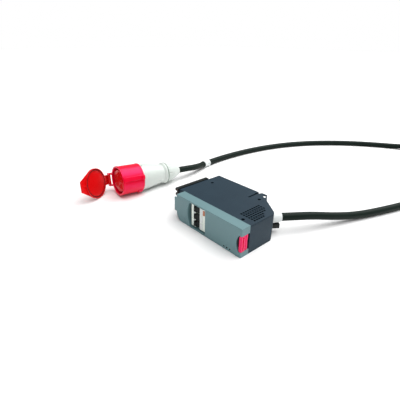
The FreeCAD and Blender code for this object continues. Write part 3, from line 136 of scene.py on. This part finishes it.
BOX_RUN = [
    (0.103145, 0.060983, 0.036),
    (0.121786, 0.086992, 0.036),
    (0.1415, 0.1268, 0.0315),
    (0.1650, 0.1783, 0.0205),
    (0.1900, 0.2393, 0.0110),
    (0.2164, 0.3088, CABLE_LOW),
    (0.2420, 0.3825, CABLE_LOW),
    (0.2650, 0.4592, CABLE_LOW),
    (0.2850, 0.5409, CABLE_LOW),
    (0.3005, 0.6235, CABLE_LOW),
    (0.3115, 0.7028, CABLE_LOW),
    (0.3165, 0.7738, CABLE_LOW),
]

CONNECTOR_RUN = [
    (0.2130, 0.9273, 0.0274),
    (0.1830, 0.9348, 0.0286),
    (0.1450, 0.9338, 0.0280),
    (0.1050, 0.9228, 0.0170),
    (0.0470, 0.8988, 0.0100),
    (-0.0210, 0.8588, CABLE_LOW),
    (-0.0910, 0.8038, CABLE_LOW),
    (-0.1530, 0.7388, CABLE_LOW),
    (-0.2040, 0.6688, CABLE_LOW),
    (-0.2420, 0.5958, CABLE_LOW),
    (-0.2700, 0.5158, CABLE_LOW),
    (-0.2870, 0.4358, CABLE_LOW),
    (-0.2960, 0.3588, CABLE_LOW),
    (-0.2980, 0.2858, CABLE_LOW),
    (-0.2935, 0.2238, 0.0098),
    (-0.2810, 0.1738, 0.0140),
    (-0.2675, 0.1378, 0.0210),
]


def coil_points():
    """The turns: one outside, one inside it, and the last stretch rises to lie on top."""
    points = []
    for angle in range(0, COIL_END + 1, COIL_STEP):
        inward = min(max((angle - INWARD_FROM) / INWARD_OVER, 0), 1)
        radius = COIL_OUTER + (COIL_INNER - COIL_OUTER) * inward
        rise = min(max((angle - RISE_FROM) / RISE_OVER, 0), 1)
        height = CABLE_LOW + (STACKED - CABLE_LOW) * rise
        reach = radius / math.cos(math.radians(COIL_STEP / 2))
        turn = math.radians(angle)
        x, y = COIL_CENTRE
        points.append((x + reach * math.cos(turn), y + reach * math.sin(turn), height))
    return points


def add_curve(name, points, depth):
    """A round tube along one smooth spline."""
    data = bpy.data.curves.new(name, "CURVE")
    data.dimensions = "3D"
    data.bevel_depth = depth
    data.bevel_resolution = 8
    data.use_fill_caps = True
    data.resolution_u = 12
    spline = data.splines.new("NURBS")
    spline.points.add(len(points) - 1)
    for point, place in zip(spline.points, points):
        point.co = (*place, 1)
    spline.order_u = 3
    spline.use_endpoint_u = True
    curve = bpy.data.objects.new(name, data)
    bpy.context.scene.collection.objects.link(curve)
    return curve


GLAND_END = (-0.265338, 0.068444, 0.029556)
GLAND_LEAD = (-0.263146, 0.098290, 0.027463)

lead_route = BOX_RUN + coil_points() + CONNECTOR_RUN + [GLAND_LEAD, GLAND_END]


def mesh_of(curve):
    """The mesh that a curve makes now."""
    bpy.context.view_layer.update()
    return bpy.data.meshes.new_from_object(curve.evaluated_get(bpy.context.evaluated_depsgraph_get()))


def spline_path(points):
    """The smooth line through a route, as points from its first end to its last."""
    curve = add_curve("line", points, 0)
    mesh = mesh_of(curve)
    path = [vertex.co.copy() for vertex in mesh.vertices]
    bpy.data.meshes.remove(mesh)
    bpy.data.objects.remove(curve)
    return path


def add_lead():
    """The jacket, as one tube from the box to the connector."""
    curve = add_curve("tube", lead_route, CABLE_DIAMETER / 2)
    tube = bpy.data.objects.new("lead", mesh_of(curve))
    bpy.data.objects.remove(curve)
    bpy.context.scene.collection.objects.link(tube)
    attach(tube, "housing")
    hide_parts("cable_box_run", "cable_coil", "cable_connector_run")
    return tube


lead_path = spline_path(lead_route)
lead = add_lead()


def ring_points(middle, along, radius, count):
    """A circle of points round a middle, square to a direction."""
    side = along.cross(Vector((0, 0, 1))).normalized()
    up = side.cross(along).normalized()
    turns = [2 * math.pi * i / count for i in range(count)]
    return [middle + side * (radius * math.cos(t)) + up * (radius * math.sin(t)) for t in turns]


def add_sleeve(name, path, profile, count=48):
    """A turned sleeve that follows a path. The profile lists how far along and how far out each ring is."""
    shape = bmesh.new()
    rings = []
    lengths = [0.0]
    for a, b in zip(path, path[1:]):
        lengths.append(lengths[-1] + (b - a).length)
    for along, radius in profile:
        step = max(i for i in range(len(path) - 1) if lengths[i] <= along)
        way = path[step + 1] - path[step]
        middle = path[step] + way * ((along - lengths[step]) / way.length)
        ahead = path[min(step + 3, len(path) - 1)] - path[max(step - 2, 0)]
        rings.append([shape.verts.new(v) for v in ring_points(middle, ahead.normalized(), radius, count)])
    for a, b in zip(rings, rings[1:] + rings[:1]):
        for i in range(count):
            j = (i + 1) % count
            shape.faces.new((a[i], a[j], b[j], b[i]))
    bmesh.ops.recalc_face_normals(shape, faces=shape.faces)
    mesh = bpy.data.meshes.new(name)
    shape.to_mesh(mesh)
    shape.free()
    mesh.polygons.foreach_set("use_smooth", [True] * len(mesh.polygons))
    sleeve = bpy.data.objects.new(name, mesh)
    bpy.context.scene.collection.objects.link(sleeve)
    return sleeve


# ---------------------------------------------------------------- the marker on the lead
MARKER_LENGTH = 0.029
MARKER_REACH = 24            # points of the lead's line on each side of it
MARKER_PROFILE = [           # how far along it, and how far out
    (0.0, 0.0098), (0.0, 0.0106), (0.0004, 0.0111), (0.0030, 0.0111), (0.0036, 0.0105),
    (0.0120, 0.0105), (0.0126, 0.0100), (0.0164, 0.0100), (0.0170, 0.0105), (0.0254, 0.0105),
    (0.0260, 0.0111), (0.0286, 0.0111), (0.0290, 0.0106), (0.0290, 0.0098), (0.0145, 0.0094),
]


def add_marker():
    """A clip-on sleeve with a raised bead at each end and a waist between them."""
    low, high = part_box("cable_marker")
    middle = (Vector(low) + Vector(high)) / 2
    nearest = min(range(len(lead_path)), key=lambda i: (lead_path[i] - middle).length)
    first = nearest - MARKER_REACH
    stretch = lead_path[first:nearest + MARKER_REACH]
    before = zip(lead_path[first:nearest], lead_path[first + 1:])
    start = sum((b - a).length for a, b in before) - MARKER_LENGTH / 2
    rings = [(start + along, radius) for along, radius in MARKER_PROFILE]
    sleeve = add_sleeve("marker_sleeve", stretch, rings)
    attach(sleeve, "housing")
    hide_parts("cable_marker")
    return sleeve


marker = add_marker()


# ---------------------------------------------------------------- floor
FLOOR_HALF = 12              # metres, so that its edge is never in view


def add_floor():
    shape = bmesh.new()
    bmesh.ops.create_grid(shape, x_segments=1, y_segments=1, size=FLOOR_HALF)
    mesh = bpy.data.meshes.new("floor")
    shape.to_mesh(mesh)
    shape.free()
    floor = bpy.data.objects.new("floor", mesh)
    bpy.context.scene.collection.objects.link(floor)
    return floor


floor = add_floor()


# ---------------------------------------------------------------- materials
MM = 0.001


def linear(code):
    """An sRGB hex colour as linear red, green, blue and full alpha."""
    parts = [int(code[i:i + 2], 16) / 255 for i in (1, 3, 5)]
    return [c / 12.92 if c <= 0.04045 else ((c + 0.055) / 1.055) ** 2.4 for c in parts] + [1]


def add_node(material, kind, links=None, **settings):
    """Adds a node. Settings are its properties, and links set or join its inputs, by name or number."""
    tree = material.node_tree
    node = tree.nodes.new(kind)
    for name, value in settings.items():
        setattr(node, name, value)
    for name, value in (links or {}).items():
        if isinstance(value, bpy.types.NodeSocket):
            tree.links.new(value, node.inputs[name])
        else:
            node.inputs[name].default_value = value
    return node


def new_material(name, colour, roughness, ior=1.5, metallic=0.0, coat=0.0, coat_roughness=0.1, gloss=0.5):
    """A material with its shader's even values set, and the shader itself."""
    material = bpy.data.materials.new(name)
    material.use_nodes = True
    shader = material.node_tree.nodes["Principled BSDF"]
    shader.inputs["Base Color"].default_value = linear(colour)
    shader.inputs["Roughness"].default_value = roughness
    shader.inputs["IOR"].default_value = ior
    shader.inputs["Metallic"].default_value = metallic
    shader.inputs["Specular IOR Level"].default_value = gloss
    shader.inputs["Coat Weight"].default_value = coat
    shader.inputs["Coat Roughness"].default_value = coat_roughness
    return material, shader


def grain(material, size_mm, detail=3.0, stretch=(1, 1, 1)):
    """Noise whose cells are size_mm across, on the piece's own coordinates."""
    place = add_node(material, "ShaderNodeTexCoord")
    scaled = add_node(material, "ShaderNodeMapping", {"Vector": place.outputs["Object"], "Scale": stretch})
    noise = add_node(material, "ShaderNodeTexNoise",
                     {"Vector": scaled.outputs["Vector"], "Scale": 1 / (size_mm * MM), "Detail": detail})
    return noise.outputs["Fac"]


def vary_colour(material, shader, fac, dark, light):
    """Blends two colours. The Mix node's colour sockets are numbers 6 and 7, and its colour result is 2."""
    blend = add_node(material, "ShaderNodeMix", {0: fac, 6: linear(dark), 7: linear(light)}, data_type="RGBA")
    material.node_tree.links.new(blend.outputs[2], shader.inputs["Base Color"])


def vary_roughness(material, shader, fac, low, high):
    spread = add_node(material, "ShaderNodeMapRange", {"Value": fac, "From Min": 0.3, "From Max": 0.7,
                                                       "To Min": low, "To Max": high})
    material.node_tree.links.new(spread.outputs["Result"], shader.inputs["Roughness"])


def raise_grain(material, shader, height, depth_mm, strength=1.0):
    bump = add_node(material, "ShaderNodeBump", {"Height": height, "Distance": depth_mm * MM, "Strength": strength})
    material.node_tree.links.new(bump.outputs["Normal"], shader.inputs["Normal"])


def powder_coat():
    """Powder coating over sheet steel: matte, with a fine orange peel."""
    material, shader = new_material("powder_coated_steel", "#1e303c", 0.5, ior=1.48, gloss=0.2)
    peel = grain(material, 1.1, detail=2)
    cloud = grain(material, 45, detail=4)
    vary_colour(material, shader, cloud, "#1b2c38", "#223541")
    vary_roughness(material, shader, peel, 0.46, 0.6)
    raise_grain(material, shader, peel, 0.05)
    return material


def spark_textured_abs():
    """Moulded ABS with a fine spark-eroded texture: soft, even sheen."""
    material, shader = new_material("spark_textured_abs", "#648186", 0.48, ior=1.53, gloss=0.35)
    pits = grain(material, 0.7, detail=2)
    flow = grain(material, 60, detail=3, stretch=(0.35, 1, 1))
    vary_colour(material, shader, flow, "#5b7a7f", "#69888c")
    vary_roughness(material, shader, pits, 0.42, 0.58)
    raise_grain(material, shader, pits, 0.03)
    return material


def black_nylon(name="black_nylon", colour="#14201f", roughness=0.42):
    """Glass-filled nylon moulding: black with a slight fibre mottle."""
    material, shader = new_material(name, colour, roughness, ior=1.53, gloss=0.25)
    fibre = grain(material, 0.9, detail=4)
    vary_colour(material, shader, fibre, "#070c0c", "#0f1817")
    vary_roughness(material, shader, fibre, roughness - 0.06, roughness + 0.1)
    raise_grain(material, shader, fibre, 0.02)
    return material


def red_polycarbonate(name="red_polycarbonate", dark="#d8021a", light="#f00430", tint=(1, 0.25, 0.9, 1)):
    """Glossy moulded polycarbonate blend: deep red with sharp highlights."""
    material, shader = new_material(name, light, 0.3, ior=1.585)
    shader.inputs["Specular Tint"].default_value = tint
    flow = grain(material, 24, detail=3)
    skin = grain(material, 2.2, detail=2)
    vary_colour(material, shader, flow, dark, light)
    vary_roughness(material, shader, skin, 0.26, 0.38)
    raise_grain(material, shader, skin, 0.02)
    return material


def light_nylon(name, dark, light, roughness=0.38):
    """Light nylon moulding: satin, with faint cloudiness."""
    material, shader = new_material(name, light, roughness, ior=1.53)
    cloud = grain(material, 18, detail=4)
    skin = grain(material, 0.8, detail=2)
    vary_colour(material, shader, cloud, dark, light)
    vary_roughness(material, shader, skin, roughness - 0.05, roughness + 0.08)
    raise_grain(material, shader, skin, 0.02)
    return material


def rubber_jacket():
    """Extruded chloroprene jacket: near black with a green cast, with faint lines along it."""
    material, shader = new_material("chloroprene_jacket", "#0b1813", 0.55, ior=1.52, gloss=0.12)
    across = add_node(material, "ShaderNodeUVMap")
    drawn = add_node(material, "ShaderNodeMapping", {"Vector": across.outputs["UV"], "Scale": (40, 60, 1)})
    lines = add_node(material, "ShaderNodeTexNoise", {"Vector": drawn.outputs["Vector"], "Scale": 1.0, "Detail": 3})
    dust = grain(material, 9, detail=5)
    vary_colour(material, shader, dust, "#08140f", "#0f1f19")
    vary_roughness(material, shader, lines.outputs["Fac"], 0.42, 0.58)
    raise_grain(material, shader, lines.outputs["Fac"], 0.06)
    return material


def plated_steel():
    """Zinc plated steel: bright grey metal with a soft grain."""
    material, shader = new_material("zinc_plated_steel", "#b9bcc0", 0.32, metallic=1.0)
    streak = grain(material, 0.6, detail=3, stretch=(1, 1, 0.2))
    vary_roughness(material, shader, streak, 0.26, 0.42)
    raise_grain(material, shader, streak, 0.01)
    return material


def machined_brass():
    """Turned brass: yellow metal, slightly dulled."""
    material, shader = new_material("machined_brass", "#c79a4a", 0.28, metallic=1.0)
    turned = grain(material, 0.5, detail=3)
    tarnish = grain(material, 6, detail=3)
    vary_colour(material, shader, tarnish, "#b3873c", "#d3a857")
    vary_roughness(material, shader, turned, 0.22, 0.38)
    return material


def wire_insulation(name, dark, light):
    """PVC insulation on a wire: smooth and slightly glossy."""
    material, shader = new_material(name, light, 0.35, ior=1.53)
    cloud = grain(material, 5, detail=2)
    vary_colour(material, shader, cloud, dark, light)
    vary_roughness(material, shader, cloud, 0.3, 0.42)
    return material


def solder_mask():
    """Glass-epoxy board under green solder mask, with a faint weave."""
    material, shader = new_material("solder_mask_board", "#1c5a34", 0.3, ior=1.55)
    weave = grain(material, 0.8, detail=1)
    vary_colour(material, shader, weave, "#154a2a", "#22663c")
    raise_grain(material, shader, weave, 0.02)
    return material


def smoked_lens():
    """Smoked clear acrylic: dark and glossy."""
    material, shader = new_material("smoked_acrylic", "#0d1517", 0.22, ior=1.49, gloss=0.3)
    haze = grain(material, 1.5, detail=2)
    vary_colour(material, shader, haze, "#0a1112", "#101a1c")
    return material


def seal_rubber(name, dark, light):
    """EPDM seal: matte rubber with a dusty bloom."""
    material, shader = new_material(name, light, 0.7, ior=1.5)
    bloom = grain(material, 2.5, detail=4)
    vary_colour(material, shader, bloom, dark, light)
    raise_grain(material, shader, bloom, 0.03)
    return material


def strap_fabric():
    """Hook-and-loop strap: black woven nylon with a short pile."""
    material, shader = new_material("hook_and_loop_strap", "#1c1c1e", 0.85)
    pile = grain(material, 0.6, detail=2)
    vary_colour(material, shader, pile, "#121214", "#2a2a2d")
    raise_grain(material, shader, pile, 0.25)
    return material


COATED = powder_coat()
ABS = spark_textured_abs()
BLACK = black_nylon()
RED = red_polycarbonate()
LID_RED = red_polycarbonate("red_polycarbonate_lid", "#c80206", "#de040a", (1, 0.6, 0.6, 1))
LEVER_RED = red_polycarbonate("red_polycarbonate_lever", "#d8123e", "#ee1c54")
GREY = light_nylon("light_grey_nylon", "#c8d0ca", "#d2d9d4")
WHITE = light_nylon("white_nylon", "#d2d8d7", "#dde1e0")
RING = light_nylon("grey_green_nylon", "#54685a", "#6b7f70")
CASE = light_nylon("breaker_thermoset", "#dfe8df", "#ecf4ea", 0.34)
ORANGE = light_nylon("orange_nylon", "#b0623a", "#c4744a", 0.34)
JACKET = rubber_jacket()
STEEL = plated_steel()
BRASS = machined_brass()
CORE = wire_insulation("black_pvc_wire", "#151312", "#24211f")
BLUE = wire_insulation("blue_pvc_wire", "#1d3f86", "#2a55a6")
EARTH = wire_insulation("green_yellow_pvc_wire", "#5d8a1c", "#b8b82a")
BOARD = solder_mask()
LENS = smoked_lens()
SEAL = seal_rubber("black_epdm_seal", "#151616", "#262828")
RED_SEAL = seal_rubber("red_epdm_seal", "#6e0509", "#820a10")
STRAP = strap_fabric()

lead.data.materials.append(JACKET)
marker.data.materials.append(WHITE)

POLES = ("1", "2", "3")
FINISHES = {
    COATED: ["base_tray", "top_cover"],
    ABS: ["front_bezel"],
    BLACK: ["side_guide_rail", "rear_contact_block", "cord_cleat", "board_components", "cover_screws"]
    + ["breaker_toggle_" + n for n in POLES] + ["current_sensor_" + n for n in POLES],
    RED: ["connector_barrel"],
    LID_RED: ["connector_lid", "connector_insert"],
    LEVER_RED: ["release_lever"],
    GREY: ["connector_housing", "gland_nut"],
    WHITE: ["strain_relief_boot", "pole_label_plates"],
    RING: ["clamp_ring"],
    CASE: ["breaker_pole_" + n for n in POLES],
    ORANGE: ["trip_button"],
    STEEL: ["guide_rail_screws", "toggle_tie_rod", "toggle_shaft", "terminal_screws", "din_rail", "rail_bracket",
            "sensor_bracket", "lever_pin", "lever_spring", "lid_hinge_pin"],
    BRASS: ["busbar_jaws", "contact_sleeves"],
    CORE: ["line_wire_" + n for n in POLES] + ["load_wire_" + n for n in POLES],
    BLUE: ["neutral_wire"],
    EARTH: ["earth_wire"],
    BOARD: ["monitor_board"],
    LENS: ["light_pipes"],
    SEAL: ["gland_seal"],
    RED_SEAL: ["lid_gasket"],
    STRAP: ["coil_tie"],
}
EDGES = {"base_tray": 0.5, "top_cover": 0.35, "front_bezel": 0.6, "connector_barrel": 0.6, "connector_lid": 0.6,
         "release_lever": 0.7, "connector_housing": 0.5, "gland_nut": 0.6, "strain_relief_boot": 0.8,
         "side_guide_rail": 0.5, "cord_cleat": 0.6}


EDGE = 0.25                  # mm, on every other piece
WELD = 0.002                 # mm
FLAT = 0.3                   # degrees within which triangles count as one flat face
SHARP = 32                   # degrees past which an edge is rounded
# the faces of each pole inside these bounds get black: painted shade of the toggle recess, partly a dark lining
SHADED_RECESS_HALF = 9.5            # mm each side of the toggles' shaft
SHADED_RECESS_FROM = 0.1            # mm behind a pole's front face
SHADED_RECESS_TO = 16


def dress(name, material):
    """Gives a CAD piece its material and small rounded edges that catch the light."""
    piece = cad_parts[name]
    piece.data.materials.clear()
    piece.data.materials.append(material)
    piece.data.polygons.foreach_set("use_smooth", [True] * len(piece.data.polygons))
    weld = piece.modifiers.new("weld", "WELD")
    weld.merge_threshold = WELD * MM
    if name != "top_cover":      # its field of slots stays as it was cut
        flat = piece.modifiers.new("flat", "DECIMATE")
        flat.decimate_type = "DISSOLVE"
        flat.angle_limit = math.radians(FLAT)
    edge = piece.modifiers.new("edge", "BEVEL")
    edge.width = EDGES.get(name, EDGE) * MM
    edge.segments = 2
    edge.limit_method = "ANGLE"
    edge.angle_limit = math.radians(SHARP)
    edge.miter_outer = "MITER_ARC"
    shade = piece.modifiers.new("shade", "WEIGHTED_NORMAL")
    shade.keep_sharp = True


def paint_recess_shade_and_lining(name):
    """Gives the inside of a pole's toggle recess, and the channel beside it, black faces: partly a dark lining,
    partly painted shade that stands in for the deep recess's shadow.
    """
    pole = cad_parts[name]
    low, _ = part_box(name)
    shaft_low, shaft_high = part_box("toggle_shaft")
    middle = (shaft_low[0] + shaft_high[0]) / 2
    pole.data.materials.append(BLACK)
    for face in pole.data.polygons:
        place = pole.matrix_world @ face.center
        if abs(place.x - middle) < SHADED_RECESS_HALF * MM and SHADED_RECESS_FROM * MM < place.y - low[1] < SHADED_RECESS_TO * MM:
            face.material_index = 1


for material, names in FINISHES.items():
    for name in names:
        dress(name, material)
# black faces in each pole's toggle recess: painted shade, partly a dark lining
for n in POLES:
    paint_recess_shade_and_lining("breaker_pole_" + n)

floor_material, floor_shader = new_material("studio_floor", "#f2f2f2", 0.9)
floor.data.materials.append(floor_material)
